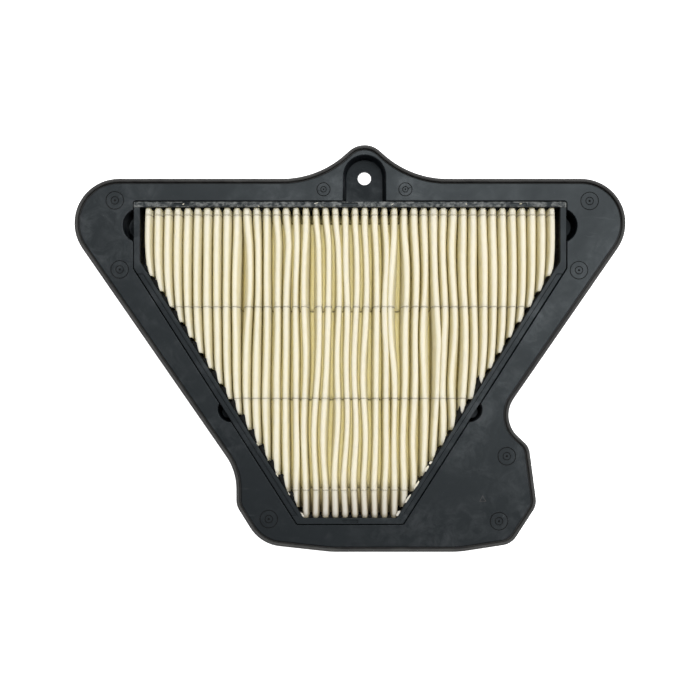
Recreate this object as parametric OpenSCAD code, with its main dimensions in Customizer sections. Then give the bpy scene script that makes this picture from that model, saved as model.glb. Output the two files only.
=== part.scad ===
// Panel air filter for a motorcycle airbox: a pleated paper pack moulded into a black frame, an outer
// plate with a screw tab, and a rubber seal round the plate's edge. Lies dirty side up on its back lip.

/* [Outer plate] */
// Overall width of the filter, over the rubber seal
overall_w = 285; // [270:1:300]
// Overall depth of the filter, from the screw tab to the straight bottom edge
overall_d = 210.4; // [205:0.1:216]
// Height of the plate's top face above the back lip
plate_top = 29; // [27:0.5:31]
// Thickness of the plate's deck
deck_t = 2.4; // [2:0.1:3]
// Thickness of the wall that runs down round the plate's edge
edge_wall_t = 1.8; // [1.5:0.1:2]
// Height of the plate's edge wall, deck included
edge_wall_h = 8.5; // [7:0.5:10]

/* [Screw tab] */
// Distance of the tab and its screw hole to the right of the filter's centre line
tab_x = 7.5; // [5:0.5:10]
// Distance of the screw hole forward of the filter's centre
hole_y = 89; // [88:0.1:90]
// Radius of the screw hole, a clearance hole for an M6 screw
hole_r = 3.5; // [3:0.1:4]
// Depth of the pocket that takes the screw's head
pocket_depth = 6; // [5:0.5:7]
// Radius of the pocket at its floor
pocket_floor_r = 9.4; // [9:0.1:9.5]
// Radius of the pocket at its mouth
pocket_mouth_r = 11; // [10:0.1:11]

/* [Rubber seal] */
// Width of the lip that shows outside the plate
lip_w = 2; // [1.5:0.1:2.4]
// Width of the groove between the lip and the plate
lip_gap = 0.6; // [0.4:0.1:0.8]
// Height of the lip above the plate's top face
lip_proud = 0.4; // [0:0.1:0.8]
// Depth of the groove below the plate's top face
lip_groove_d = 2; // [1:0.5:3]
// Thickness of the foot under the plate's edge wall
foot_t = 2; // [1.5:0.1:3]

/* [Element frame] */
// Half of the element frame's width along its long edge
frame_half_w = 111.6; // [110:0.1:112]
// Half of the element frame's width along its short edge
frame_half_bottom = 27.3; // [26:0.1:29]
// Distance of the long edge from the filter's centre
frame_top_y = 75.7; // [75:0.1:76]
// Distance of the shoulder, where the slanted edges start
frame_shoulder_y = 41.4; // [40:0.1:43]
// Distance of the short edge from the filter's centre
frame_bottom_y = -90.7; // [-92:0.1:-90]
// Height of the rail's top above the back lip's underside
frame_h = 30; // [29.5:0.1:32]
// Thickness of the frame's walls
wall_t = 2; // [1.6:0.1:2.2]
// Height of the rail that covers the potting
rail_h = 3; // [2:0.5:4]
// Thickness of the lip that holds the pleats up at the back
back_lip_t = 2; // [1.5:0.1:2]

/* [Pleated paper] */
// Number of pleats
pleats = 42; // [40:1:42]
// Distance from one pleat to the next
pitch = 5.1; // [5:0.05:5.1]
// Thickness of the paper
paper_t = 0.7; // [0.5:0.1:0.8]
// Width of a pleat's rounded tip, paper included
tip_w = 2.9; // [2.7:0.1:3.3]
// Height of the pleats' back folds above the table
paper_low = 2.3; // [2.3:0.1:3]
// Height of the pleats' front tips above the table
paper_high = 28.6; // [26:0.1:28.6]
// Distance between two glue beads
bead_spacing = 47.5; // [40:0.5:48]
// Distance of the first glue bead from the filter's centre
first_bead_y = 69.2; // [60:0.1:69.5]
// Width of a glue bead
bead_w = 0.8; // [0.6:0.1:1.2]
// Height of a glue bead off the paper
bead_t = 0.25; // [0.2:0.05:0.25]

/* [Hidden] */
$fn = 48;
half_w = overall_w / 2;
half_d = overall_d / 2;
deck_low = plate_top - deck_t;
edge_wall_low = plate_top - edge_wall_h;
foot_low = edge_wall_low - foot_t;
plate_inset = lip_w + lip_gap;
wall_inset = plate_inset + edge_wall_t;
joint_gap = 0.5;
ledge_w = 2.6;
ledge_t = 2.4;
skirt_gap = 3;
skirt_t = 1.8;
skirt_low = 21.4;
floor_t = 2.4;
floor_top = plate_top - pocket_depth;
floor_low = floor_top - floor_t;
tub_wall_t = 1.8;
socket_t = 1.2;
socket_low = 13;
socket_floor = socket_low + socket_t;
rail_low = frame_h - rail_h;
step_down = 0.6;
step_w = 2.5;
arc_angle = 6;
arc_length = 2.5;
eps = 0.01;
bead_count = 4;
LEFT_SIDE = 0;
LEFT_SLANT = 1;
SHORT_EDGE = 2;
RIGHT_SLANT = 3;
RIGHT_SIDE = 4;
LONG_EDGE = 5;

// ---- Outlines ----
// The seal's outer edge, anticlockwise: corners as [x, y, radius], with the corner's radius as an arc.
slope = 0.6915; // sideways run of the slanted edges for each unit down
corner_r = 23;
tab_r = 12;
tab_flare_r = 49;
tab_angle = 42;
tab_rise = overall_d / 2 + tab_r / cos(tab_angle) - tab_r;
top_edge_y = 87.8;
tab_foot = (tab_rise - top_edge_y) / tan(tab_angle);
// where the slanted edge would meet the top edge so that its round corner is as wide as the filter
top_corner_x = half_w - corner_r + corner_r * tan((90 + atan(slope)) / 2);
function slant_x(y) = top_corner_x - slope * (top_edge_y - y);
outline = [
    [-top_corner_x, top_edge_y, corner_r],
    [-slant_x(-63.4), -63.4, 29.5],
    [-slant_x(-63.4), -81.2, 10],
    [-46.3, 4 - half_d, 20.5],
    [-9.8, -half_d, 52],
    [56.6, -half_d, 52],
    [83.5, 4.1 - half_d, 10],
    [96.6, -81, 9.5],
    [92.6, -50.7, 9],
    [slant_x(-36.7), -36.7, 15],
    [top_corner_x, top_edge_y, corner_r],
    [tab_x + tab_foot, top_edge_y, tab_flare_r],
    [tab_x, tab_rise, tab_r],
    [tab_x - tab_foot, top_edge_y, tab_flare_r]
];
// The element frame's outer edge, anticlockwise.
frame_corner_r = 1;
frame_outline = [
    [-frame_half_w, frame_top_y, frame_corner_r],
    [-frame_half_w, frame_shoulder_y, frame_corner_r],
    [-frame_half_bottom, frame_bottom_y, frame_corner_r],
    [frame_half_bottom, frame_bottom_y, frame_corner_r],
    [frame_half_w, frame_shoulder_y, frame_corner_r],
    [frame_half_w, frame_top_y, frame_corner_r]
];
// How far the rail reaches in from each edge: side, slant, short edge, slant, side, long edge.
rail_widths = [3.2, 4.5, 3.1, 4.5, 3.2, 2.8];
// How far the back lip reaches in from each edge.
lip_widths = [5, 6.5, 8, 6.5, 5, 6.2];

function unit(v) = v / norm(v);
function xy(v) = [v.x, v.y];
function cross2(a, b) = a.x * b.y - a.y * b.x;
function pick(d, i) = is_list(d) ? d[i] : d;
// The corners after edge i has moved inwards by d, or by d[i]; radii follow the edges.
function inset(v, d) = [for (i = [0 : len(v) - 1])
    let (n = len(v), h = (i + n - 1) % n, j = (i + 1) % n,
         into = unit(xy(v[i]) - xy(v[h])), out = unit(xy(v[j]) - xy(v[i])),
         a = xy(v[i]) + pick(d, h) * [-into.y, into.x],
         b = xy(v[i]) + pick(d, i) * [-out.y, out.x],
         turn = cross2(into, out),
         p = abs(turn) < eps ? a : a + into * cross2(b - a, out) / turn,
         shift = (pick(d, h) + pick(d, i)) / 2)
    [p.x, p.y, max(0.2, v[i][2] - sign(turn) * shift)]];
function wrap(a) = a > 180 ? a - 360 : a < -180 ? a + 360 : a;
// One rounded corner at b, between its neighbours a and c, as points along its arc: no step of it turns by
// more than arc_angle or is longer than arc_length.
function corner(a, b, c, r) =
    let (u = unit(a - b), w = unit(c - b), half = acos(u * w) / 2,
         m = b + unit(u + w) * r / sin(half),
         s = b + u * r / tan(half) - m, e = b + w * r / tan(half) - m,
         from = atan2(s.y, s.x), sweep = wrap(atan2(e.y, e.x) - from),
         n = max(2, ceil(abs(sweep) / arc_angle), ceil(abs(sweep) * PI / 180 * r / arc_length)))
    [for (k = [0 : n]) m + r * [cos(from + sweep * k / n), sin(from + sweep * k / n)]];
function rounded(v) = [for (i = [0 : len(v) - 1], p =
    corner(xy(v[(i + len(v) - 1) % len(v)]), xy(v[i]), xy(v[(i + 1) % len(v)]), v[i][2])) p];

module slab(shape, low, high) {
    translate([0, 0, low]) linear_extrude(high - low) polygon(rounded(shape));
}
module ring(outer, inner, low, high) {
    translate([0, 0, low]) linear_extrude(high - low) difference() {
        polygon(rounded(outer));
        polygon(rounded(inner));
    }
}
module mirrored() {
    children();
    mirror([1, 0, 0]) children();
}

// ---- Outer plate ----
upper_notch = [-108.5, 63.5, 8.9]; // x, y, radius
lower_notch = [-61.8, -31.5, 6.5];
mark_large_r = 4.75;
mark_small_r = 3.6;
pin_marks = [
    [-121.5, 76.5, mark_large_r], [-119, 40.8, mark_large_r], [123.8, 76.2, mark_large_r],
    [118.3, 40.4, mark_large_r], [-13.7, 82.2, mark_small_r], [28.6, 82.2, mark_small_r],
    [-42, -88.2, mark_large_r], [81, -55.7, mark_large_r], [77, -89.3, mark_large_r]
];
mark_line = 0.4;
mark_depth = 0.3;
mark_disc = 0.45; // shares of the mark's radius
mark_centre = 0.12;
triangle_mark = [68.6, -78, 2.2]; // x, y, radius over its corners

// The round notches beside the element frame, each grown by extra.
module notches(extra, low, high) {
    mirrored() for (n = [upper_notch, lower_notch])
        translate([n.x, n.y, low]) cylinder(r = n[2] + extra, h = high - low);
}
// The pocket's shape with walls that lean out towards the mouth, grown by extra.
module pocket_shape(extra, low, high) {
    lean = (pocket_mouth_r - pocket_floor_r) / pocket_depth;
    r_low = pocket_floor_r + extra + (low - floor_top) * lean;
    r_high = pocket_floor_r + extra + (high - floor_top) * lean;
    end_y = frame_top_y + joint_gap;
    translate([tab_x, hole_y, low]) cylinder(r1 = r_low, r2 = r_high, h = high - low, $fn = 96);
    translate([tab_x, hole_y, low]) rotate([90, 0, 0]) linear_extrude(hole_y - end_y)
        polygon([[-r_low, 0], [r_low, 0], [r_high, high - low], [-r_high, high - low]]);
}
// The witness mark of an ejector pin: a fine ring round a disc with a turned centre.
module pin_mark(r) {
    difference() {
        cylinder(r = r, h = 1);
        translate([0, 0, -eps]) cylinder(r = r - mark_line, h = 2);
    }
    difference() {
        cylinder(r = r * mark_disc, h = 1);
        translate([0, 0, -eps]) cylinder(r = r * mark_disc - mark_line, h = 2);
    }
    cylinder(r = r * mark_centre, h = 1);
}
// A plain moulded triangle, one line wide.
module triangle_groove() {
    rotate(90) difference() {
        cylinder(r = triangle_mark[2], h = 1, $fn = 3);
        translate([0, 0, -eps]) cylinder(r = triangle_mark[2] - 2 * mark_line, h = 2, $fn = 3);
    }
}
// Stiffening ribs under the deck, from the skirt to the edge wall.
rib_t = 1.4;
rib_low = 23;
rib_reach = 60; // longer than the widest part of the plate, as the edge wall cuts them off
rib_starts = [ // x, y, direction
    [-95, 78, 90], [-60, 78, 90], [-30, 78, 90], [45, 78, 90], [75, 78, 90], [105, 78, 90],
    [-113, 25, 145], [-92, -8, 145], [-72, -40, 145], [-49, -76, 145],
    [113, 25, 35], [92, -8, 35], [68, -45, 0], [52, -68, 0],
    [-15, -93, -90], [15, -93, -90], [40, -78, -50], [-114, 60, 180], [114, 60, 0]
];
module ribs() {
    for (p = rib_starts)
        translate([p.x, p.y, rib_low]) rotate(p[2])
            translate([0, -rib_t / 2, 0]) cube([rib_reach, rib_t, deck_low - rib_low]);
}
module outer_plate() color("#3a3d40") difference() {
    union() {
        slab(inset(outline, plate_inset), deck_low, plate_top);
        ring(inset(outline, plate_inset), inset(outline, wall_inset), edge_wall_low, deck_low);
        difference() {
            intersection() {
                union() {
                    ribs();
                    ring(inset(frame_outline, -skirt_gap - skirt_t), inset(frame_outline, -skirt_gap),
                         skirt_low, deck_low);
                }
                slab(inset(outline, wall_inset - edge_wall_t / 2), floor_low - 1, deck_low);
            }
            slab(inset(frame_outline, -skirt_gap), floor_low - 1, deck_low + eps);
        }
        // closed sockets under the notches, for the element frame's lugs
        notches(socket_t, socket_low, deck_low);
        // the pocket's floor and walls, as far as the element frame
        intersection() {
            pocket_shape(tub_wall_t, floor_low, deck_low);
            slab(inset(outline, wall_inset - edge_wall_t / 2), floor_low - 1, deck_low);
        }
    }
    slab(inset(frame_outline, -joint_gap), socket_low - 1, plate_top + 1);
    notches(0, socket_floor, plate_top + 1);
    pocket_shape(0, floor_top, plate_top + 1);
    translate([tab_x, hole_y, floor_low - 1]) cylinder(r = hole_r, h = floor_t + 2);
    for (m = pin_marks) translate([m.x, m.y, plate_top - mark_depth]) pin_mark(m[2]);
    translate([triangle_mark.x, triangle_mark.y, plate_top - mark_depth / 2]) triangle_groove();
}

// ---- Rubber seal ----
module rim_seal() color("#4a4b49") union() {
    ring(outline, inset(outline, wall_inset), foot_low, edge_wall_low);
    ring(outline, inset(outline, plate_inset), edge_wall_low, plate_top - lip_groove_d);
    ring(outline, inset(outline, lip_w), plate_top - lip_groove_d, plate_top + lip_proud);
}

// ---- Element frame ----
upper_lug = [-109.7, 63.5, 5.6]; // x, y, radius
lower_lug = [-63.6, -32.9, 3];
lug_low = socket_floor + 1;
upper_lug_high = 22.6;
lower_lug_high = 23.5;
slot_l = 8;
slot_w = 1.4;
slot_d = 0.8;
slot_edge = 0.7; // from the rail's outer edge
slot_x = 87; // of the two outer slots on the long edge
slant_slots = [0.26, 0.76]; // shares of the way down a slanted edge
step_low_y = frame_bottom_y + 4.5;
step_high_y = frame_shoulder_y - 3;
pocket_clear = 2;
wall_inner = inset(frame_outline, wall_t);
rail_inner = inset(frame_outline, rail_widths);

module lugs() {
    mirrored() {
        translate([upper_lug.x, upper_lug.y, lug_low])
            cylinder(r = upper_lug[2], h = upper_lug_high - lug_low);
        translate([lower_lug.x, lower_lug.y, lug_low])
            cylinder(r = lower_lug[2], h = lower_lug_high - lug_low);
    }
}
// Locating slots along the top of the rail, one for each place that held the pack in its mould.
module rail_slots() {
    low = frame_h - slot_d;
    slant_angle = atan2(frame_shoulder_y - frame_bottom_y, frame_half_bottom - frame_half_w);
    for (x = [-slot_x, 0, slot_x])
        translate([x - slot_l / 2, frame_top_y - slot_edge - slot_w, low]) cube([slot_l, slot_w, 2]);
    translate([-slot_l / 2, frame_bottom_y + slot_edge, low]) cube([slot_l, slot_w, 2]);
    mirrored() for (t = slant_slots) {
        x = frame_half_w + t * (frame_half_bottom - frame_half_w);
        y = frame_shoulder_y + t * (frame_bottom_y - frame_shoulder_y);
        translate([x, y, low - step_down]) rotate(-slant_angle)
            translate([-slot_l / 2, slot_edge, 0]) cube([slot_l, slot_w, 2]);
    }
}
module element_frame() color("#2f3235") difference() {
    union() {
        ring(frame_outline, wall_inner, 0, rail_low);
        ring(frame_outline, rail_inner, rail_low, frame_h);
        ring(wall_inner, inset(frame_outline, lip_widths), 0, back_lip_t);
        difference() {
            ring(inset(frame_outline, -ledge_w), inset(frame_outline, wall_t / 2),
                 deck_low - ledge_t, deck_low);
            notches(0, deck_low - ledge_t - 1, deck_low + 1);
            translate([tab_x - pocket_mouth_r - pocket_clear, frame_top_y, floor_low - 1])
                cube([2 * (pocket_mouth_r + pocket_clear), ledge_w + 1, deck_low - floor_low + 2]);
        }
        difference() {
            lugs();
            slab(inset(frame_outline, wall_t / 2), lug_low - 1, plate_top);
        }
    }
    // the slanted rails' outer half lies one step lower, which leaves a ridge along their inner half
    intersection() {
        ring(inset(frame_outline, -1), inset(frame_outline, step_w), frame_h - step_down, frame_h + 1);
        translate([-frame_half_w - 1, step_low_y, frame_h - step_down])
            cube([2 * frame_half_w + 2, step_high_y - step_low_y, step_down + 1]);
    }
    rail_slots();
}

// ---- Pleated paper ----
tip_r = (tip_w - paper_t) / 2; // along the paper's middle
fold_r = pitch / 2 - tip_r;
tip_z = paper_high - tip_w / 2;
fold_z = paper_low + fold_r + paper_t / 2;
arc_steps = 4;
foot_w = 4; // reaches past the rail, which cuts it off
function tip_x(i, n = pleats) = (i - (n - 1) / 2) * pitch;
function on_arc(x, z, r, from, to) =
    [for (k = [0 : arc_steps]) let (a = from + (to - from) * k / arc_steps) [x + r * cos(a), z + r * sin(a)]];
// One surface of n pleats, off the paper's middle by s towards the front; it runs from left to right.
function pleat_surface(n, s) = [for (i = [0 : n - 1], p = concat(
    i == 0 ? [] : on_arc(tip_x(i, n) - pitch / 2, fold_z, fold_r - s, -90, 0),
    on_arc(tip_x(i, n), tip_z, tip_r + s, 180, 0),
    i == n - 1 ? [] : on_arc(tip_x(i, n) + pitch / 2, fold_z, fold_r - s, 180, 270))) p];
// The flat foot at the pack's left end (side -1) or right end (side 1), where the paper meets the frame.
function pack_foot(side, s) =
    let (x = side * (tip_x(pleats - 1) + pitch / 2),
         arc = on_arc(x, fold_z, fold_r - s, side < 0 ? -90 : 180, side < 0 ? 0 : 270))
    side < 0 ? concat([[x - foot_w, arc[0].y]], arc) : concat(arc, [[x + foot_w, arc[arc_steps].y]]);
function whole_surface(s) = concat(pack_foot(-1, s), pleat_surface(pleats, s), pack_foot(1, s));
function backwards(v) = [for (i = [len(v) - 1 : -1 : 0]) v[i]];
module upright(y_low, y_high) {
    translate([0, y_high, 0]) rotate([90, 0, 0]) linear_extrude(y_high - y_low) children();
}
module pleated_paper() color("#efe4c0") intersection() {
    upright(frame_bottom_y, frame_top_y)
        polygon(concat(whole_surface(paper_t / 2), backwards(whole_surface(-paper_t / 2))));
    slab(rail_inner, 0, frame_h);
}

// ---- Glue beads ----
// How many whole pleats fit between the rails at y: an even number, as the pack is symmetrical.
function rail_half_w(y) =
    let (s = xy(rail_inner[4]), b = xy(rail_inner[3]), t = (s.y - y) / (s.y - b.y))
    y > s.y ? s.x : s.x + t * (b.x - s.x);
function pleats_at(y) = min(pleats, 2 * floor((rail_half_w(y) - bead_w - 0.5) / pitch - 0.25));
// side 1 lays the bead on the front of the paper, and side -1 on its back.
module glue_bead(number, side) color("#a79c78") {
    y = first_bead_y - (number - 1) * bead_spacing;
    n = pleats_at(y - bead_w);
    upright(y - bead_w / 2, y + bead_w / 2)
        polygon(concat(pleat_surface(n, side * (paper_t / 2 + bead_t)),
                       backwards(pleat_surface(n, side * paper_t / 2))));
}

// ---- Potting ----
// The black compound between the frame's wall and the paper's cut ends, along one edge.
module potting(edge) color("#161718") {
    next = (edge + 1) % 6;
    translate([0, 0, back_lip_t]) linear_extrude(rail_low - back_lip_t)
        polygon([xy(wall_inner[edge]), xy(wall_inner[next]), xy(rail_inner[next]), xy(rail_inner[edge])]);
}

outer_plate();
rim_seal();
element_frame();
pleated_paper();
for (k = [1 : bead_count]) {
    glue_bead(k, 1);
    glue_bead(k, -1);
}
potting(LONG_EDGE);  // potting_long_edge
potting(SHORT_EDGE);  // potting_short_edge
potting(LEFT_SLANT);  // potting_left_slant
potting(RIGHT_SLANT);  // potting_right_slant
potting(LEFT_SIDE);  // potting_left_side
potting(RIGHT_SIDE);  // potting_right_side
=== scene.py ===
"""Motorcycle panel air filter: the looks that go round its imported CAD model.

The CAD model gives every size and place. The plate and the element frame are copies of its meshes with
rounded edges and new materials. The rubber seal, the pleated paper, its glue threads, the potting and the
scraps of paper are made here.
"""

import math
import random

import bmesh
import bpy
import numpy as np
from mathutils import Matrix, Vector


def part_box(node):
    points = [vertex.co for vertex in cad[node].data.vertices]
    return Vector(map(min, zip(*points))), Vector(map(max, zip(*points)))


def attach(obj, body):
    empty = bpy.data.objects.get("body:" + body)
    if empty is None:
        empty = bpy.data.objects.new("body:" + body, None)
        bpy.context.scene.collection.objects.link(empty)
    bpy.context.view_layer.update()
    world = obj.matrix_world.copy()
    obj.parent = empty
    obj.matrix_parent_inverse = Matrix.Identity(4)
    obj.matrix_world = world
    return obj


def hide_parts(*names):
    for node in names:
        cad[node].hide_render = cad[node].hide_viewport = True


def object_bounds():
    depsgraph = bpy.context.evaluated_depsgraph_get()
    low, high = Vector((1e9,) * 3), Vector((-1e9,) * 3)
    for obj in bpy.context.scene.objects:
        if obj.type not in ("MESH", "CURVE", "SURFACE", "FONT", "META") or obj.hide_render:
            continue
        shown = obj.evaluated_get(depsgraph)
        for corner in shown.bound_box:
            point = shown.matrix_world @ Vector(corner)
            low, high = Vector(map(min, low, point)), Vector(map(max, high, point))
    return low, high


MM = 0.001

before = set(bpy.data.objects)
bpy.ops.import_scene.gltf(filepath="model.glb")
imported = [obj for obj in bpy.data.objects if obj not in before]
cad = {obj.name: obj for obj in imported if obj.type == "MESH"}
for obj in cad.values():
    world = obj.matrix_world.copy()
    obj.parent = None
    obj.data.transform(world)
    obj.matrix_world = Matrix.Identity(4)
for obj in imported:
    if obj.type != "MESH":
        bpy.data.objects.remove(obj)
cad_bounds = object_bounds()


# ---- Places and sizes from the frame ----
class Place:
    """Where the filter's main surfaces are, all from the CAD nodes' boxes."""

    paper_low, paper_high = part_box("pleated_paper")
    frame_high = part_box("element_frame")[1]
    seal_low, seal_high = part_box("rim_seal")
    plate_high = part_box("outer_plate")[1]
    table = cad_bounds[0].z


PLEATS = 42
PITCH = 5.1 * MM
TIP_WIDTH = 2.75 * MM
SHEET = 0.5 * MM
# How far a pleat's flank bulges at the usual pitch, in the middle of the pack and towards both sides.
BULGE_MIDDLE = 0.66 * MM
BULGE_SIDES = 1.0 * MM
THREAD_BOXES = [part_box(f"front_bead_{n}") for n in range(1, 5)]
THREAD_Y = [(low.y + high.y) / 2 for low, high in THREAD_BOXES]


# ---- Materials ----
class Shader:
    """A new material, with short ways to add nodes to its tree and join them."""

    def __init__(self, name):
        self.material = bpy.data.materials.new(name)
        self.material.use_nodes = True
        self.tree = self.material.node_tree
        self.surface = self.tree.nodes["Principled BSDF"]
        self.where = self.tree.nodes.new("ShaderNodeTexCoord").outputs["Object"]

    def add(self, kind, inputs=None, **settings):
        made = self.tree.nodes.new(kind)
        for key, value in settings.items():
            setattr(made, key, value)
        for key, value in (inputs or {}).items():
            self.feed(made.inputs[key], value)
        return made

    def feed(self, socket, value):
        if isinstance(value, bpy.types.NodeSocket):
            self.tree.links.new(value, socket)
        else:
            socket.default_value = value

    def set(self, **inputs):
        for key, value in inputs.items():
            self.feed(self.surface.inputs[key.replace("_", " ")], value)

    def stretched(self, x, y, z):
        """Places scaled by x, y and z, so that noise gets longer where the scale is less than 1."""
        return self.add("ShaderNodeMapping", {"Vector": self.where, "Scale": (x, y, z)}).outputs["Vector"]

    def noise(self, size, detail=3.0, roughness=0.55, where=None, distortion=0.0):
        """Noise whose features are about size metres wide."""
        inputs = {"Vector": where or self.where, "Scale": 1 / size, "Detail": detail}
        inputs.update({"Roughness": roughness, "Distortion": distortion})
        return self.add("ShaderNodeTexNoise", inputs).outputs["Fac"]

    def between(self, value, low, high, to_low=0.0, to_high=1.0):
        """value mapped from low..high to to_low..to_high, and held there beyond them."""
        inputs = {"Value": value, "From Min": low, "From Max": high}
        inputs.update({"To Min": to_low, "To Max": to_high})
        return self.add("ShaderNodeMapRange", inputs).outputs["Result"]

    def math(self, operation, a, b=0.0):
        made = self.add("ShaderNodeMath", operation=operation)
        self.feed(made.inputs[0], a)
        self.feed(made.inputs[1], b)
        return made.outputs["Value"]

    def mix(self, share, first, second, blend="MIX"):
        made = self.add("ShaderNodeMix", data_type="RGBA", blend_type=blend)
        self.feed(made.inputs["Factor"], share)
        self.feed(made.inputs[6], first)
        self.feed(made.inputs[7], second)
        return made.outputs[2]

    def bump(self, height, depth, normal=None):
        """Relief as deep as depth, on top of another normal if there is one."""
        inputs = {"Height": height, "Distance": depth, "Strength": 1.0}
        if normal is not None:
            inputs["Normal"] = normal
        return self.add("ShaderNodeBump", inputs).outputs["Normal"]


DARK_PLASTIC = (0.003, 0.0042, 0.0055)
HAZY_PLASTIC = (0.03, 0.0325, 0.035)


def grey(red, green=None, blue=None):
    """An opaque colour: a grey from one value, or any colour from three."""
    return (red, red if green is None else green, red if blue is None else blue, 1.0)


def moulded_plastic(name, dark, light, rough_from, rough_to, grain):
    """Satin black plastic: cloudy flow patches, a fine spark-eroded grain, dust specks and rubbed streaks.
    Its reflections are turned down lower down, as painted shade in its recesses."""
    s = Shader(name)
    clouds = s.noise(42 * MM, 4.0, 0.6, distortion=0.8)
    blotches = s.noise(9 * MM, 5.0, 0.68, distortion=0.6)
    specks = s.noise(0.9 * MM, 2.0, 0.6)
    streaks = s.noise(5 * MM, 4.0, 0.7, where=s.stretched(0.12, 1.0, 1.0), distortion=0.3)
    haze = s.math("MULTIPLY", s.between(clouds, 0.45, 0.7), s.between(blotches, 0.42, 0.66))
    haze = s.math("MAXIMUM", haze, s.between(streaks, 0.66, 0.76, 0.0, 0.5))
    colour = s.mix(haze, grey(*dark), grey(*light))
    colour = s.mix(s.between(specks, 0.7, 0.8, 0.0, 0.35), colour, grey(*(2.0 * c for c in light)))
    uneven = s.math("ADD", clouds, s.math("MULTIPLY", blotches, 0.5))
    rough = s.between(uneven, 0.55, 0.95, rough_to, rough_from)
    fine = s.noise(0.28 * MM, 3.0, 0.7)
    swell = s.noise(9 * MM, 2.0, 0.5)
    normal = s.bump(swell, 0.05 * MM)
    normal = s.bump(fine, grain, normal)
    height = s.add("ShaderNodeSeparateXYZ", {"Vector": s.where}).outputs["Z"]
    # Painted shade: the lower, recessed surfaces, such as the pocket's floor, reflect less, as if shaded.
    recess_shaded_shine = s.between(height, Place.plate_high.z - 5 * MM, Place.plate_high.z - 2 * MM, 0.1, 0.265)
    s.set(Base_Color=colour, Roughness=rough, Normal=normal, Specular_IOR_Level=recess_shaded_shine)
    s.set(Specular_Tint=grey(0.86, 0.96, 1.0))
    return s


def rough_rail(s):
    """Adds the scraped, lighter plastic along the top of the long rail."""
    apart = s.add("ShaderNodeSeparateXYZ", {"Vector": s.where})
    on_rail = s.between(apart.outputs["Y"], Place.paper_high.y - 0.4 * MM, Place.paper_high.y)
    on_top = s.between(apart.outputs["Z"], Place.frame_high.z - 0.4 * MM, Place.frame_high.z - 0.1 * MM)
    mask = s.math("MULTIPLY", on_rail, on_top)
    scrapes = s.noise(1.8 * MM, 5.0, 0.75, where=s.stretched(0.75, 1.0, 1.0))
    share = s.math("MULTIPLY", mask, s.between(scrapes, 0.44, 0.62))
    colour = s.surface.inputs["Base Color"].links[0].from_socket
    s.set(Base_Color=s.mix(share, colour, grey(0.14, 0.143, 0.138)))
    normal = s.surface.inputs["Normal"].links[0].from_socket
    depth = s.math("MULTIPLY", scrapes, mask)
    s.set(Normal=s.bump(depth, 0.35 * MM, normal))


def painted_mark_tone(name, colour):
    """A flat matt colour painted into the floor of a moulded mark: painted shade where it is dark, a painted
    highlight where it is pale.
    """
    s = Shader(name)
    s.set(Base_Color=grey(colour), Roughness=0.8, Specular_IOR_Level=0.15)
    return s.material


def seal_rubber():
    s = Shader("seal_rubber")
    patches = s.noise(12 * MM, 4.0, 0.6)
    dust = s.noise(0.7 * MM, 3.0, 0.7)
    colour = s.mix(s.between(patches, 0.35, 0.7), grey(0.02, 0.02, 0.0195), grey(0.045, 0.045, 0.043))
    colour = s.mix(s.between(dust, 0.6, 0.8, 0.0, 0.5), colour, grey(0.075, 0.075, 0.07))
    normal = s.bump(s.noise(2.5 * MM, 3.0, 0.6), 0.06 * MM)
    normal = s.bump(s.noise(0.25 * MM, 2.0, 0.6), 0.02 * MM, normal)
    s.set(Base_Color=colour, Roughness=s.between(patches, 0.3, 0.7, 0.62, 0.8), Normal=normal)
    s.set(Specular_IOR_Level=0.4)
    return s.material


def filter_paper():
    """Cream cellulose paper: fibres, faint mottling, tips painted paler as a painted highlight, some light
    that comes through from behind, and a colour that darkens towards the short edge."""
    s = Shader("filter_paper")
    mottle = s.noise(3.5 * MM, 4.0, 0.65)
    fibres = s.noise(0.35 * MM, 3.0, 0.7, where=s.stretched(1.0, 0.35, 1.0))
    colour = s.mix(s.between(mottle, 0.3, 0.7), grey(0.9, 0.845, 0.65), grey(0.93, 0.89, 0.72))
    colour = s.mix(s.between(fibres, 0.55, 0.8, 0.0, 0.35), colour, grey(0.94, 0.9, 0.8))
    apart = s.add("ShaderNodeSeparateXYZ", {"Vector": s.where})
    low_y, tip_z = Place.paper_low.y, Place.paper_high.z
    # The paper's colour, and the colour of the light coming through it, are darker towards the short edge.
    short_edge_darkening = s.between(apart.outputs["Y"], low_y + 4 * MM, low_y + 20 * MM, 0.6, 0.0)
    colour = s.mix(short_edge_darkening, colour, grey(0.5, 0.42, 0.28))
    # Painted highlight: the paper just under the tips' tops is painted paler, as if lit.
    tips = s.between(apart.outputs["Z"], tip_z - 1.5 * MM, tip_z - 0.5 * MM, 0.0, 0.85)
    colour = s.mix(tips, colour, grey(0.95, 0.93, 0.88))
    normal = s.bump(mottle, 0.05 * MM)
    normal = s.bump(fibres, 0.03 * MM, normal)
    s.set(Base_Color=colour, Roughness=0.85, Normal=normal, Specular_IOR_Level=0.25)
    deep = s.mix(s.between(mottle, 0.3, 0.7), grey(0.94, 0.89, 0.64), grey(0.96, 0.93, 0.76))
    deep = s.mix(short_edge_darkening, deep, grey(0.4, 0.33, 0.2))
    through = s.add("ShaderNodeBsdfTranslucent", {"Color": deep, "Normal": normal})
    parts = {"Fac": 0.5, 1: s.surface.outputs["BSDF"], 2: through.outputs["BSDF"]}
    both = s.add("ShaderNodeMixShader", parts)
    s.feed(s.tree.nodes["Material Output"].inputs["Surface"], both.outputs["Shader"])
    return s.material


def glue_thread():
    s = Shader("glue_thread")
    lumps = s.noise(1.2 * MM, 3.0, 0.6)
    colour = s.mix(s.between(lumps, 0.35, 0.65), grey(0.4, 0.37, 0.28), grey(0.55, 0.51, 0.4))
    rough = s.between(lumps, 0.3, 0.7, 0.35, 0.6)
    s.set(Base_Color=colour, Roughness=rough, Normal=s.bump(lumps, 0.05 * MM))
    return s.material


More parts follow.
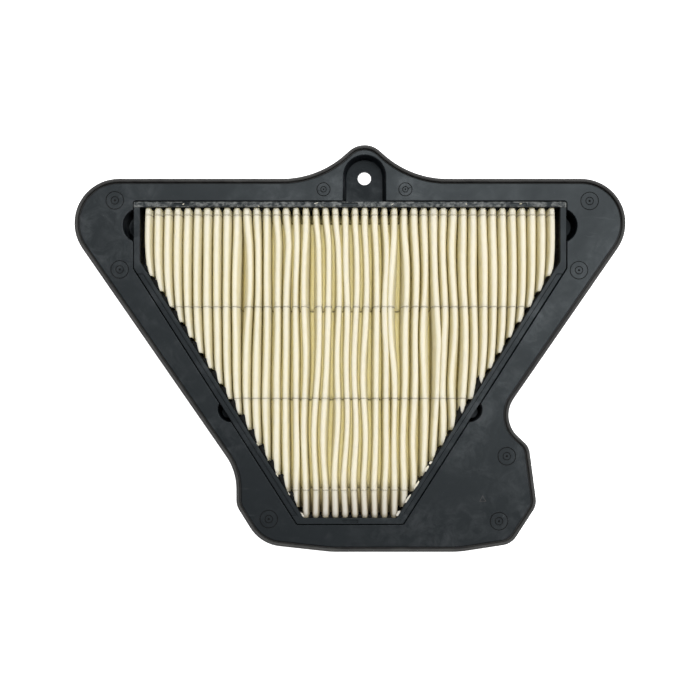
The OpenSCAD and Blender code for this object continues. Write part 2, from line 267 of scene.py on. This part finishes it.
def potting_compound():
    s = Shader("potting")
    lumps = s.noise(1.6 * MM, 4.0, 0.65)
    colour = s.mix(s.between(lumps, 0.4, 0.7), grey(0.002), grey(0.007))
    normal = s.bump(lumps, 0.25 * MM)
    normal = s.bump(s.noise(0.3 * MM, 3.0, 0.6), 0.03 * MM, normal)
    s.set(Base_Color=colour, Roughness=s.between(lumps, 0.3, 0.7, 0.5, 0.75), Normal=normal)
    s.set(Specular_IOR_Level=0.12)
    return s.material


# ---- Mesh helpers ----
def make_object(name, vertices, faces, material, smooth=True):
    mesh = bpy.data.meshes.new(name)
    mesh.from_pydata([tuple(v) for v in vertices], [], faces)
    mesh.validate()
    mesh.update()
    if smooth:
        mesh.shade_smooth()
    made = bpy.data.objects.new(name, mesh)
    bpy.context.scene.collection.objects.link(made)
    made.data.materials.append(material)
    return made


def grid_faces(rows, columns, wrap_rows=False, wrap_columns=False, flip=False):
    """Quads of a grid of points whose index is row * columns + column."""
    faces = []
    for i in range(rows if wrap_rows else rows - 1):
        for j in range(columns if wrap_columns else columns - 1):
            k, m = (i + 1) % rows, (j + 1) % columns
            quad = (i * columns + j, i * columns + m, k * columns + m, k * columns + j)
            faces.append(quad[::-1] if flip else quad)
    return faces


def top_outlines(node):
    """The closed outlines of a CAD node's highest flat faces, longest first, as lists of (x, y)."""
    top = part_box(node)[1].z
    bm = bmesh.new()
    bm.from_mesh(cad[node].data)
    bmesh.ops.remove_doubles(bm, verts=bm.verts, dist=0.001 * MM)
    tolerance = 0.01 * MM
    flat = {f for f in bm.faces if all(abs(v.co.z - top) < tolerance for v in f.verts)}
    after = {}
    for face in flat:
        for loop in face.loops:
            if sum(f in flat for f in loop.edge.link_faces) == 1:
                after[loop.vert.index] = loop.link_loop_next.vert.index
    bm.verts.ensure_lookup_table()
    outlines = []
    while after:
        index = next(iter(after))
        points = []
        while index in after:
            points.append(bm.verts[index].co.xy.copy())
            index = after.pop(index)
        outlines.append(points)
    bm.free()
    return sorted(outlines, key=outline_length, reverse=True)


def outline_length(points):
    return sum((b - a).length for a, b in zip(points, points[1:] + points[:1]))


def divided(points, longest):
    """The same closed outline with no edge longer than that."""
    out = []
    for a, b in zip(points, points[1:] + points[:1]):
        steps = max(1, math.ceil((b - a).length / longest))
        out += [a.lerp(b, k / steps) for k in range(steps)]
    return out


def inward(points):
    """For each point of an anticlockwise outline, the way in, scaled so that an offset keeps its width."""
    out = []
    for before, here, after in zip(points[-1:] + points[:-1], points, points[1:] + points[:1]):
        first, second = (here - before).normalized(), (after - here).normalized()
        a, b = Vector((-first.y, first.x)), Vector((-second.y, second.x))
        middle = (a + b).normalized()
        out.append(middle / max(0.5, middle.dot(a)))
    return out


# A level face less than this far below a flat top is the floor of a moulded mark, and of a faint one where it
# is less than FAINT_MARK below.
DEEPEST_MARK = 0.35 * MM
FAINT_MARK = 0.2 * MM


def height_range(face):
    heights = [v.co.z for v in face.verts]
    return max(heights) - min(heights)


def rounded_copy(node, name, width, depth, materials):
    """A copy of a CAD node whose sharp edges are rounded as far down as depth, except for its moulded marks.
    The last two of its three materials, painted shade and a painted highlight, go into the floors of the
    deeper and fainter marks."""
    bm = bmesh.new()
    bm.from_mesh(cad[node].data)
    bmesh.ops.remove_doubles(bm, verts=bm.verts, dist=0.001 * MM)
    bmesh.ops.dissolve_limit(bm, angle_limit=math.radians(0.5), verts=bm.verts, edges=bm.edges)
    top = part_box(node)[1].z
    for face in bm.faces:
        down = top - face.calc_center_median().z
        # Painted shade goes into the deeper marks' floors (material 1), and a painted highlight into the
        # fainter ones' (material 2).
        if height_range(face) < 0.01 * MM and 0.1 * MM < down < DEEPEST_MARK:
            face.material_index = 1 if down > FAINT_MARK else 2
    sharp = []
    for edge in bm.edges:
        near_top = all(v.co.z > top - depth for v in edge.verts)
        if near_top and edge.calc_face_angle(0) > math.radians(35):
            if not any(0.01 * MM < height_range(f) < DEEPEST_MARK for f in edge.link_faces):
                sharp.append(edge)
    bmesh.ops.bevel(
        bm, geom=sharp, offset=width, segments=3, profile=0.5, affect="EDGES", clamp_overlap=False
    )
    mesh = bpy.data.meshes.new(name)
    bm.to_mesh(mesh)
    bm.free()
    mesh.shade_smooth()
    mesh.set_sharp_from_angle(angle=math.radians(40))
    made = bpy.data.objects.new(name, mesh)
    bpy.context.scene.collection.objects.link(made)
    for material in materials:
        made.data.materials.append(material)
    even = made.modifiers.new("even shading", "WEIGHTED_NORMAL")
    even.keep_sharp = True
    even.weight = 100
    return made


# ---- Rubber seal ----
def seal_profile():
    """The seal's section as (way in from the outline, height): a foot, an outer wall with two shallow
    grooves, and a round lip beside the plate's edge."""
    low, high = Place.seal_low.z, Place.seal_high.z
    foot, lip, root = 4.4 * MM, 1.75 * MM, 2.6 * MM
    shelf, groove = low + 2.0 * MM, high - 2.4 * MM
    points = [(0.5 * MM, low), (foot - 0.4 * MM, low), (foot, low + 0.4 * MM), (foot, shelf), (root, shelf)]
    points += [(root, groove), (lip, groove)]
    round_r = lip / 2
    points += [
        (round_r + round_r * math.cos(a), high - round_r + round_r * math.sin(a))
        for a in np.linspace(0, math.pi, 9)
    ]
    wall_top, wall_low = high - 1.5 * MM, low + 0.5 * MM
    for k in range(1, 16):
        share = k / 16
        dip = 0.28 * MM * max(0.0, math.sin(share * 3 * math.pi) ** 3)
        points.append((dip, wall_top + (wall_low - wall_top) * share))
    return points


def make_seal(material):
    """The seal's section swept round the outline of the CAD node."""
    outline = divided(top_outlines("rim_seal")[0], 3 * MM)
    ways = inward(outline)
    profile = seal_profile()
    vertices = [
        (here.x + way.x * inset, here.y + way.y * inset, height)
        for here, way in zip(outline, ways)
        for inset, height in profile
    ]
    faces = grid_faces(len(outline), len(profile), wrap_rows=True, wrap_columns=True, flip=True)
    seal = make_object("rubber_rim_seal", vertices, faces, material)
    seal.data.set_sharp_from_angle(angle=math.radians(50))
    return seal


# ---- Pleated paper ----
# Where neighbouring pleats lean apart (more than 0) or together (less than 0):
# the valley's number, its y, how much wider it gets, and how far along the pleats that reaches, in mm.
SPREADS = [
    (16, 6, 3.2, 62),
    (9, 32, 2.2, 30),
    (25, 18, 3.0, 40),
    (28, 2, 3.0, 36),
    (24, 12, -1.8, 42),
    (29, -6, -1.9, 24),
    (13, 10, -1.0, 50),
    (20, 40, 1.2, 26),
    (22, -20, 1.4, 30),
    (12, -30, 1.2, 22),
    (33, 40, 1.4, 28),
    (18, -38, 1.3, 30),
    (31, -25, 1.2, 26),
]
ROWS = np.linspace(Place.paper_low.y, Place.paper_high.y, 81)


def smoothstep(x):
    """0 up to x = 0 and 1 from x = 1, with a smooth rise between."""
    x = np.clip(x, 0, 1)
    return x * x * (3 - 2 * x)


def low_end(x):
    """The y where the pack ends at x: on the short edge, or on a slanted rail."""
    corner_x, corner_y = SLANT_FOOT
    shoulder_x, shoulder_y = SLANT_TOP
    share = (np.abs(x) - corner_x) / (shoulder_x - corner_x)
    return corner_y + np.clip(share, 0, 1) * (shoulder_y - corner_y)


def rail_corners():
    """The ends of the right slanted rail's inner edge: on the short edge, and at the shoulder."""
    inner = min(top_outlines("element_frame")[:2], key=outline_length)
    inner = [p for p in inner if p.x > 0]
    foot = min(inner, key=lambda p: (round(p.y, 4), -p.x))
    top = min((p for p in inner if p.x > max(q.x for q in inner) - 0.1 * MM), key=lambda p: p.y)
    return (foot.x, foot.y), (top.x, top.y)


SLANT_FOOT, SLANT_TOP = rail_corners()


def smooth_waves(dice, x, y, x_size, y_size, count=24):
    """Smooth random waves over a grid, about -1..1, with features of those sizes."""
    total = np.zeros(np.broadcast(x, y).shape)
    for _ in range(count):
        kx, ky = dice.gauss(0, 1) / x_size, dice.gauss(0, 1) / y_size
        total += np.sin(2 * math.pi * (kx * x + ky * y) * 0.5 + dice.uniform(0, 2 * math.pi))
    return total * math.sqrt(2 / count) / 1.6


class Pack:
    """The folded paper's middle surface: where every tip and every back fold runs."""

    def __init__(self):
        dice = random.Random(42)
        number = np.arange(PLEATS)
        self.rest = (number - (PLEATS - 1) / 2) * PITCH
        x, y = self.rest[:, None], ROWS[None, :]
        # The pleats are held straight at both ends, and wander less towards both sides.
        to_top = (Place.paper_high.y - y) / (22 * MM)
        to_low = (y - low_end(x)) / (26 * MM)
        held = smoothstep(to_top) * smoothstep(to_low)
        loose = 0.15 + 0.85 * smoothstep((85 * MM - np.abs(x)) / (45 * MM))
        shift = smooth_waves(dice, x, y, 16 * MM, 75 * MM) * 0.9 * MM * loose
        shift += smooth_waves(dice, x, y, 5 * MM, 45 * MM) * 0.55 * MM * loose
        for valley, at, extra, reach in SPREADS:
            near = number[:, None] - (valley + 0.5)
            along = np.exp(-(((y - at * MM) / (reach * MM)) ** 2) * 1.6)
            shift += np.sign(near) * extra / 2 * MM * np.exp(-(np.abs(near) - 0.5) / 1.8) * along
        # The outer pleats bow away from the middle, and back towards it close to their lower ends.
        length = Place.paper_high.y - low_end(x)
        up = (y - low_end(x)) / length
        outer = smoothstep((np.abs(x) - 35 * MM) / (45 * MM))
        bow = 0.5 * MM * np.sin(math.pi * np.clip(up, 0, 1))
        bow -= 1.1 * MM * np.exp(-np.maximum(up, 0) * length / (7 * MM))
        self.tip = x + shift * held + np.sign(x) * outer * bow
        self.keep_apart(TIP_WIDTH + 0.05 * MM)
        # The back folds follow the tips in part, and wander a little on their own.
        middle = (self.tip[1:] + self.tip[:-1]) / 2 - (x[1:] + x[:-1]) / 2
        wander = smooth_waves(dice, x[1:], y, 6 * MM, 60 * MM) * 0.35 * MM * loose[1:]
        self.fold = (x[1:] + x[:-1]) / 2 + middle * 0.65 + wander * held[1:]
        # beside is 0 in the middle of the pack and 1 towards both sides.
        self.beside = smoothstep((np.abs(self.fold) - 20 * MM) / (26 * MM))
        gap = np.diff(self.tip, axis=0) - TIP_WIDTH
        wanted = BULGE_MIDDLE + (BULGE_SIDES - BULGE_MIDDLE) * self.beside
        wanted += 0.2 * np.maximum(0, gap - (PITCH - TIP_WIDTH))
        self.bulge = np.clip(wanted, 0, np.maximum(0, gap / 2 - 0.18 * MM))
        self.height = 0.18 * MM * (smooth_waves(dice, x, y, 7 * MM, 60 * MM) * loose - 1)
        self.flare = 1 + 0.1 * smooth_waves(dice, x, y, 4 * MM, 50 * MM)

    def keep_apart(self, gap):
        """Moves tips apart where their middles are closer than gap, and keeps them all inside the frame."""
        for _ in range(60):
            short = np.maximum(0, gap - np.diff(self.tip, axis=0)) / 2
            self.tip[:-1] -= short
            self.tip[1:] += short
        edge = Place.paper_high.x - TIP_WIDTH / 2 - 1.5 * MM
        self.tip = np.clip(self.tip, -edge, edge)


def along(table, row, y):
    """table's values for its numbered row at each y."""
    return np.interp(y, ROWS, table[row])


class Column:
    """One line of the sheet that runs along a pleat: near tip number tip, near back fold number fold, and how
    far it is from the first to the second."""

    def __init__(self, tip, tip_angle, fold, fold_angle, share):
        self.tip, self.tip_angle = tip, tip_angle
        self.fold, self.fold_angle = fold, fold_angle
        self.share = share

    def places(self, pack, y):
        """x and z of the sheet's middle at each y."""
        fold_r = (PITCH - TIP_WIDTH) / 2
        tip_r = (TIP_WIDTH - SHEET) / 2
        flare = along(pack.flare, self.tip, y)
        tip_x = along(pack.tip, self.tip, y) + tip_r * math.cos(self.tip_angle) * flare
        top = Place.paper_high.z - SHEET / 2 - tip_r - end_drop(along(pack.tip, self.tip, y), y)
        tip_z = top + tip_r * math.sin(self.tip_angle) + along(pack.height, self.tip, y)
        fold = min(max(self.fold, 0), PLEATS - 2)
        outside = (self.fold - fold) * PITCH
        fold_x = along(pack.fold, fold, y) + outside + fold_r * math.cos(self.fold_angle)
        if 0 <= self.fold < PLEATS - 1:
            beside = along(pack.beside, self.fold, y)
            shape = bulge_shape(self.share) * (1 - beside) + shoulder_shape(self.share) * beside
            tip_x = tip_x + math.cos(self.tip_angle) * shape * along(pack.bulge, self.fold, y)
        fold_z = Place.paper_low.z + SHEET / 2 + fold_r + fold_r * math.sin(self.fold_angle)
        x = tip_x + (fold_x - tip_x) * self.share
        return x, tip_z + (fold_z - tip_z) * self.share


def bulge_shape(share):
    """How far out a flank stands at that share of the way down to the back fold, as a share of the most."""
    return math.sin(math.pi * min(1.0, share * 1.6)) if share < 0.625 else 0.0


def shoulder_shape(share):
    """The same for the pleats towards both sides, which widen just under their tips."""
    return float(np.interp(share, [0, 0.06, 0.15, 0.27, 0.42, 0.62, 1], [0, 0.62, 1, 0.95, 0.75, 0.4, 0]))


def end_drop(x, y):
    """How far a tip rounds down where it goes into the potting at its two ends."""
    drop = 0
    for gone, reach in ((Place.paper_high.y - y, 1.5 * MM), (y - low_end(x), 2.6 * MM)):
        near = np.clip(1 - gone / reach, 0, 1)
        drop = drop + reach * 0.8 * (1 - np.sqrt(1 - near**2 * 0.98))
    return drop


# The shares of the way down a flank at which the sheet has a line.
FLANK_SHARES = [0.06, 0.15, 0.27, 0.42, 0.62, 1.0]


def sheet_columns(arc_steps=6):
    """The sheet's lines from left to right, fold by fold."""
    columns = []
    for tip in range(PLEATS):
        before, after = tip - 1, tip
        for share in reversed(FLANK_SHARES):
            columns.append(Column(tip, math.pi, before, 0.0, share))
        for k in range(arc_steps + 1):
            columns.append(Column(tip, math.pi * (1 - k / arc_steps), before, 0.0, 0.0))
        for share in FLANK_SHARES:
            columns.append(Column(tip, 0.0, after, math.pi, share))
        if tip < PLEATS - 1:
            for k in range(1, 3):
                columns.append(Column(tip, 0.0, after, math.pi * (1 + k / 3), 1.0))
    return columns


def station_shares(count):
    """Shares of the way along a pleat, closer together near both ends."""
    t = np.linspace(0, 1, count)
    return 0.5 - 0.5 * np.cos(math.pi * t) * (1 - 0.25 * np.sin(math.pi * t) ** 2)


def sheet_points(pack, columns, stations):
    """The sheet's middle surface as an array of stations by columns by (x, y, z)."""
    shares = station_shares(stations)
    points = np.empty((stations, len(columns), 3))
    for number, column in enumerate(columns):
        x_rest = (column.tip - (PLEATS - 1) / 2) * PITCH
        if column.share > 0:
            side = column.fold - column.tip + 0.5
            x_rest += side * PITCH * column.share
        first = low_end(x_rest) - 1.0 * MM
        y = first + (Place.paper_high.y + 0.4 * MM - first) * shares
        x, z = column.places(pack, y)
        points[:, number, 0], points[:, number, 1], points[:, number, 2] = x, y, z
    return points


def sheet_normals(points):
    """Unit normals in each station's own plane, pointing to the front of the sheet."""
    ahead = np.empty_like(points)
    ahead[:, 1:-1] = points[:, 2:] - points[:, :-2]
    ahead[:, 0], ahead[:, -1] = points[:, 1] - points[:, 0], points[:, -1] - points[:, -2]
    normals = np.stack([-ahead[..., 2], np.zeros(ahead.shape[:2]), ahead[..., 0]], axis=-1)
    return normals / np.maximum(np.linalg.norm(normals, axis=-1, keepdims=True), 1e-9)


def make_paper(pack, material):
    """The folded sheet: its front, its back, and a rim that joins them."""
    columns = sheet_columns()
    stations, wide = 54, len(columns)
    middle = sheet_points(pack, columns, stations)
    normals = sheet_normals(middle)
    front, back = middle + normals * SHEET / 2, middle - normals * SHEET / 2
    count = stations * wide
    faces = grid_faces(stations, wide)
    faces += [tuple(count + v for v in quad[::-1]) for quad in faces]
    rim = list(range(wide))
    rim += [row * wide + wide - 1 for row in range(1, stations)]
    rim += [(stations - 1) * wide + k for k in range(wide - 2, -1, -1)]
    rim += [row * wide for row in range(stations - 2, 0, -1)]
    for a, b in zip(rim, rim[1:] + rim[:1]):
        faces.append((b, a, count + a, count + b))
    vertices = np.concatenate([front.reshape(-1, 3), back.reshape(-1, 3)])
    return make_object("pleated_filter_paper", vertices, faces, material)


# ---- Glue threads ----
def thread_path(pack, y, side):
    """Points of the sheet's middle along a thread at y. A thread on the front (side 1) sags between the
    tips, and one on the back (side -1) doesn't."""
    half = rail_half_width(y) - 1.2 * MM
    sag = 0.9 * MM if side > 0 else 0.0
    here = np.array([y])
    points = []
    for column in sheet_columns(arc_steps=8):
        x, z = column.places(pack, here)
        if abs(x[0]) < half:
            points.append((float(x[0]), y - sag * min(1, 1.6 * column.share), float(z[0])))
    return points


def rail_half_width(y):
    """Half the width between the rails at y."""
    if y > SLANT_TOP[1]:
        return SLANT_TOP[0]
    share = (y - SLANT_FOOT[1]) / (SLANT_TOP[1] - SLANT_FOOT[1])
    return SLANT_FOOT[0] + share * (SLANT_TOP[0] - SLANT_FOOT[0])


def make_thread(pack, number, y, side, material):
    """A thin thread of glue that follows the folded sheet, with its middle on the sheet's surface."""
    dice = random.Random(100 * number + side)
    path = [Vector(p) for p in thread_path(pack, y, side)]
    around = 6
    vertices = []
    for k, here in enumerate(path):
        before, after = path[max(0, k - 1)], path[min(len(path) - 1, k + 1)]
        run = (after - before).normalized()
        out = Vector((-run.z, 0, run.x)) * side
        middle = here + out * (SHEET / 2)
        half_wide = (0.4 + 0.1 * dice.uniform(-1, 1)) * MM
        tall = (0.12 + 0.03 * dice.uniform(-1, 1)) * MM
        for a in range(around):
            angle = 2 * math.pi * a / around
            across = Vector((0, 1, 0)) * half_wide * math.cos(angle)
            vertices.append(middle + across + out * tall * math.sin(angle))
    faces = grid_faces(len(path), around, wrap_columns=True, flip=side > 0)
    last = (len(path) - 1) * around
    faces.append(tuple(range(around)))
    faces.append(tuple(last + a for a in range(around - 1, -1, -1)))
    name = "glue_thread_front" if side > 0 else "glue_thread_back"
    return make_object(f"{name}_{number}", vertices, faces, material)


# ---- Potting ----
# A tooth of compound beside one pleat's end: how far across it is from the pleat's middle, with the rail's
# side less than 0, and how far it stands out from the rail, in mm. Its top meets the pleat's flank.
TOOTH = [(-4.0, -0.2), (-3.8, 1.0), (-3.0, 2.4), (-2.2, 3.9), (-1.6, 5.0), (-1.2, 5.2), (-0.9, 4.0)]
TOOTH += [(-0.5, 2.5), (-0.1, 1.5), (0.3, 0.7), (0.8, -0.2)]
# A tall fin of compound, which stands beside each of FIN_PLEATS on the right.
FIN = [(-5.0, -0.2), (-4.5, 1.8), (-4.0, 4.4), (-3.6, 6.4), (-2.8, 5.0), (-2.0, 4.2), (-1.5, 2.8)]
FIN += [(-0.9, 1.3), (-0.5, -0.2)]
FIN_PLEATS = (31, 33)
# The compound between two pleats' ends on a straight rail.
SCALLOP = [(-1.5, -0.2), (-1.2, 0.6), (-0.8, 1.0), (-0.3, 1.2)]
SCALLOP += [(0.3, 1.2), (0.8, 1.0), (1.2, 0.6), (1.5, -0.2)]


def lump(outline, top, low, dice, fall=0.5 * MM):
    """The points and faces of a lump of compound over an outline. Its top falls away towards the rim."""
    count = len(outline)
    middle = sum(outline, Vector((0, 0))) / count
    points = [(middle.x, middle.y, top)]
    for share, drop in ((0.72, 0.15), (1.0, 1.0)):
        for p in outline:
            q = middle.lerp(p, share)
            points.append((q.x, q.y, top - fall * drop * dice.uniform(0.7, 1.3)))
    points += [(p.x, p.y, low) for p in outline]
    faces = [(0, 1 + k, 1 + (k + 1) % count) for k in range(count)]
    for ring in range(2):
        first = 1 + ring * count
        for k in range(count):
            m = (k + 1) % count
            faces.append((first + k, first + count + k, first + count + m, first + m))
    last = 1 + 2 * count
    faces.append(tuple(last + k for k in range(count - 1, -1, -1)))
    return points, faces


def slant_teeth(pack, side, dice):
    """The outlines of the teeth along a slanted rail. side is -1 on the left and 1 on the right."""
    out = []
    for i in range(PLEATS):
        if pack.rest[i] * side < SLANT_FOOT[0] or abs(pack.rest[i]) > SLANT_TOP[0]:
            continue
        y = float(low_end(pack.rest[i]))
        x = float(along(pack.tip, i, y))
        lower = 1 - (y - SLANT_FOOT[1]) / (SLANT_TOP[1] - SLANT_FOOT[1])
        is_fin = i in FIN_PLEATS and side > 0
        tall = 1.0 if is_fin else (0.65 + 0.45 * lower) * dice.uniform(0.75, 1.2)
        if side > 0 and not is_fin:
            tall *= 0.45
        jag = 0.25 + 0.35 * lower
        points = []
        for across, stand in FIN if is_fin else TOOTH:
            across += dice.uniform(-0.3, 0.3) * jag
            stand = stand * tall + (dice.uniform(-0.8, 0.8) * jag if stand > 0 else 0)
            px = x - side * across * MM
            points.append(Vector((px, float(low_end(px)) + max(stand, -0.2) * MM)))
        if side < 0:
            points.reverse()
        out.append(points)
    return out


def edge_scallops(pack, top_edge, dice):
    """The outlines of the compound between the pleats' ends, on the long edge or on the short one."""
    out = []
    row = -1 if top_edge else 0
    edge_y = Place.paper_high.y if top_edge else SLANT_FOOT[1]
    way = -1 if top_edge else 1
    reach = SLANT_TOP[0] if top_edge else SLANT_FOOT[0]
    for i in range(PLEATS - 1):
        x = float(pack.tip[i, row] + pack.tip[i + 1, row]) / 2
        if abs(x) > reach - 1.0 * MM:
            continue
        tall = dice.uniform(0.75, 1.2)
        points = [
            Vector((x + across * MM * 0.85, edge_y + way * stand * tall * MM))
            for across, stand in SCALLOP
        ]
        if not top_edge:
            points.reverse()
        out.append(points)
    return out


def is_anticlockwise(points):
    return sum(a.cross(b) for a, b in zip(points, points[1:] + points[:1])) > 0


def make_potting(pack, edge, material):
    """The CAD node's straight strip of compound, and the lumps that stand out between the pleats' ends."""
    dice = random.Random(edge)
    strip = cad[f"potting_{edge}"].data
    vertices = [tuple(v.co) for v in strip.vertices]
    faces = [tuple(f.vertices) for f in strip.polygons]
    if edge.endswith("slant"):
        outlines = slant_teeth(pack, -1 if edge.startswith("left") else 1, dice)
        top, low = Place.paper_high.z + 0.1 * MM, Place.paper_high.z - 9 * MM
    elif edge.endswith("edge"):
        outlines = edge_scallops(pack, edge.startswith("long"), dice)
        top, low = Place.paper_high.z - 1.6 * MM, Place.paper_high.z - 9 * MM
    else:
        outlines = []
    for outline in outlines:
        if not is_anticlockwise(outline):
            outline = outline[::-1]
        points, more = lump(outline, top - dice.uniform(0, 0.3) * MM, low, dice)
        faces += [tuple(len(vertices) + v for v in face) for face in more]
        vertices += points
    return make_object(f"ragged_potting_{edge}", vertices, faces, material, smooth=False)


# ---- Scraps of paper and fibres ----
# Scraps stuck along the slanted rails: the side, the height above the short edge, the length along the rail
# and the width, in mm.
SCRAPS = [
    (1, 2.4, 4.4, 2.0),
    (1, 9.8, 6.0, 1.5),
    (1, 17.2, 6.4, 1.1),
    (1, 25.4, 3.6, 1.7),
    (1, 28.6, 2.2, 1.3),
    (-1, 1.6, 3.4, 0.8),
    (-1, 12.5, 2.6, 0.6),
    (-1, 22.5, 2.8, 0.6),
    (-1, 38.0, 2.2, 0.5),
]
# Fibres on the long rail: x and length in mm.
FIBRES = [(-86, 1.3), (-17.5, 2.2), (21.8, 1.8), (88, 1.6), (-47, 1.0), (60, 1.0)]


def flake(middle, along_way, length, width, dice):
    """The points and faces of a torn flake of paper, longer one way."""
    across_way = Vector((-along_way.y, along_way.x))
    corners = 11
    outline = []
    for k in range(corners):
        angle = 2 * math.pi * k / corners
        reach = dice.uniform(0.6, 1.1)
        out = along_way * (math.cos(angle) * length / 2) + across_way * (math.sin(angle) * width / 2)
        outline.append(middle.xy + out * reach)
    points = [(p.x, p.y, middle.z + dice.uniform(-0.15, 0.25) * MM) for p in outline]
    points += [(x, y, z - 0.35 * MM) for x, y, z in points]
    faces = [tuple(range(corners)), tuple(range(2 * corners - 1, corners - 1, -1))]
    for k in range(corners):
        m = (k + 1) % corners
        faces.append((k, corners + k, corners + m, m))
    return points, faces


def make_scraps(material):
    """The scraps on the slanted rails and the fibres on the long rail, as one piece."""
    dice = random.Random(7)
    vertices, faces = [], []
    run = Vector((SLANT_TOP[0] - SLANT_FOOT[0], SLANT_TOP[1] - SLANT_FOOT[1])).normalized()
    flakes = []
    for side, height, length, width in SCRAPS:
        y = SLANT_FOOT[1] + height * MM
        x = side * (rail_half_width(y) - 0.5 * MM)
        middle = Vector((x, y, Place.frame_high.z - 0.35 * MM))
        flakes.append(flake(middle, Vector((side * run.x, run.y)), length * MM, width * MM, dice))
    for x, length in FIBRES:
        y = Place.paper_high.y + dice.uniform(0.3, 2.0) * MM
        middle = Vector((x * MM, y, Place.frame_high.z + 0.1 * MM))
        lie = dice.uniform(-0.9, 0.9)
        flakes.append(flake(middle, Vector((math.cos(lie), math.sin(lie))), length * MM, 0.45 * MM, dice))
    for points, more in flakes:
        faces += [tuple(len(vertices) + v for v in face) for face in more]
        vertices += points
    scraps = make_object("paper_scraps", vertices, faces, material, smooth=False)
    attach(scraps, "root")


# ---- Floor, light and camera ----
# The camera's height above the pleats' tips, how wide it sees there, the y that it is over, and the y in the
# middle of its view.
VIEW_HEIGHT = 554 * MM
VIEW_WIDTH = 361.9 * MM
VIEW_NADIR_Y = -21.5 * MM
VIEW_MIDDLE_Y = -0.8 * MM
# Where the two lights are and the width of each, in metres, and their power in watts.
KEY_PLACE, KEY_SIZE, KEY_POWER = (0.5, 0.52, 1.55), 1.1, 27
FILL_PLACE, FILL_SIZE, FILL_POWER = (-0.28, 0.6, 1.5), 0.6, 5
# The room's strength (To) against how high the view points into it (From, 1 being straight up).
ROOM_FADE = {"From Min": 0.42, "From Max": 0.93, "To Min": 0.84, "To Max": 0.13}


def make_floor():
    """A white floor that lights itself, so that it stays white all round the filter."""
    s = Shader("pale_floor")
    s.set(Base_Color=grey(0.9), Roughness=0.9, Emission_Color=grey(1.0), Emission_Strength=1.0)
    half = 3.0
    corners = [(-half, -half), (half, -half), (half, half), (-half, half)]
    vertices = [(x, y, Place.table) for x, y in corners]
    floor = make_object("floor", vertices, [(0, 1, 2, 3)], s.material, smooth=False)


def make_light(name, place, size, watts):
    """A square light that points at the filter's middle, which is the frame's origin."""
    light = bpy.data.lights.new(name, "AREA")
    light.shape = "SQUARE"
    light.size = size
    light.energy = watts
    made = bpy.data.objects.new(name, light)
    made.location = place
    made.rotation_euler = (-Vector(place)).to_track_quat("-Z", "Y").to_euler()
    bpy.context.scene.collection.objects.link(made)


def make_lights():
    """A big soft light up on the right, a weak one up on the left, and a room that is bright at the sides and
    dim overhead."""
    world = bpy.data.worlds.new("studio")
    world.use_nodes = True
    tree = world.node_tree
    way = tree.nodes.new("ShaderNodeTexCoord")
    apart = tree.nodes.new("ShaderNodeSeparateXYZ")
    fade = tree.nodes.new("ShaderNodeMapRange")
    for socket, value in ROOM_FADE.items():
        fade.inputs[socket].default_value = value
    tree.links.new(way.outputs["Generated"], apart.inputs["Vector"])
    tree.links.new(apart.outputs["Z"], fade.inputs["Value"])
    background = tree.nodes["Background"]
    background.inputs["Color"].default_value = (1.0, 1.0, 1.0, 1.0)
    tree.links.new(fade.outputs["Result"], background.inputs["Strength"])
    bpy.context.scene.world = world
    make_light("key", KEY_PLACE, KEY_SIZE, KEY_POWER)
    make_light("fill", FILL_PLACE, FILL_SIZE, FILL_POWER)


def make_camera():
    """Straight down on the filter, as far above its pleats as the view's perspective needs."""
    lens = bpy.data.cameras.new("camera")
    lens.sensor_fit = "HORIZONTAL"
    lens.angle = 2 * math.atan(VIEW_WIDTH / 2 / VIEW_HEIGHT)
    lens.shift_y = (VIEW_MIDDLE_Y - VIEW_NADIR_Y) / VIEW_WIDTH
    lens.clip_start = 0.01
    camera = bpy.data.objects.new("camera", lens)
    camera.location = (0, VIEW_NADIR_Y, Place.paper_high.z + VIEW_HEIGHT)
    bpy.context.scene.collection.objects.link(camera)
    bpy.context.scene.camera = camera


def stand_for(piece, node):
    """piece takes a CAD node's place in the looks."""
    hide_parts(node)
    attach(piece, "root")


# ---- Build ----
plate_shader = moulded_plastic("plate_plastic", DARK_PLASTIC, HAZY_PLASTIC, 0.36, 0.5, 0.02 * MM)
frame_shader = moulded_plastic("frame_plastic", DARK_PLASTIC, HAZY_PLASTIC, 0.42, 0.56, 0.03 * MM)
rough_rail(frame_shader)
# The deeper marks' floors get painted shade, and the fainter marks' floors get a painted highlight.
plate_materials = [plate_shader.material, painted_mark_tone("painted_shade_line", 0.004), painted_mark_tone("painted_highlight_line", 0.05)]
frame_materials = [frame_shader.material] * 3
plate = rounded_copy("outer_plate", "moulded_outer_plate", 0.4 * MM, 0.01 * MM, plate_materials)
stand_for(plate, "outer_plate")
rails = rounded_copy("element_frame", "moulded_element_frame", 0.28 * MM, 0.7 * MM, frame_materials)
stand_for(rails, "element_frame")

stand_for(make_seal(seal_rubber()), "rim_seal")

pack = Pack()
paper_material = filter_paper()
stand_for(make_paper(pack, paper_material), "pleated_paper")
make_scraps(paper_material)
thread = glue_thread()
for number, y in enumerate(THREAD_Y, 1):
    stand_for(make_thread(pack, number, y, 1, thread), f"front_bead_{number}")
    stand_for(make_thread(pack, number, y, -1, thread), f"back_bead_{number}")

potting = potting_compound()
for edge in ("left_slant", "right_slant", "long_edge", "short_edge", "left_side", "right_side"):
    stand_for(make_potting(pack, edge, potting), f"potting_{edge}")

make_floor()
make_lights()
make_camera()
bpy.context.scene.view_settings.view_transform = "Standard"
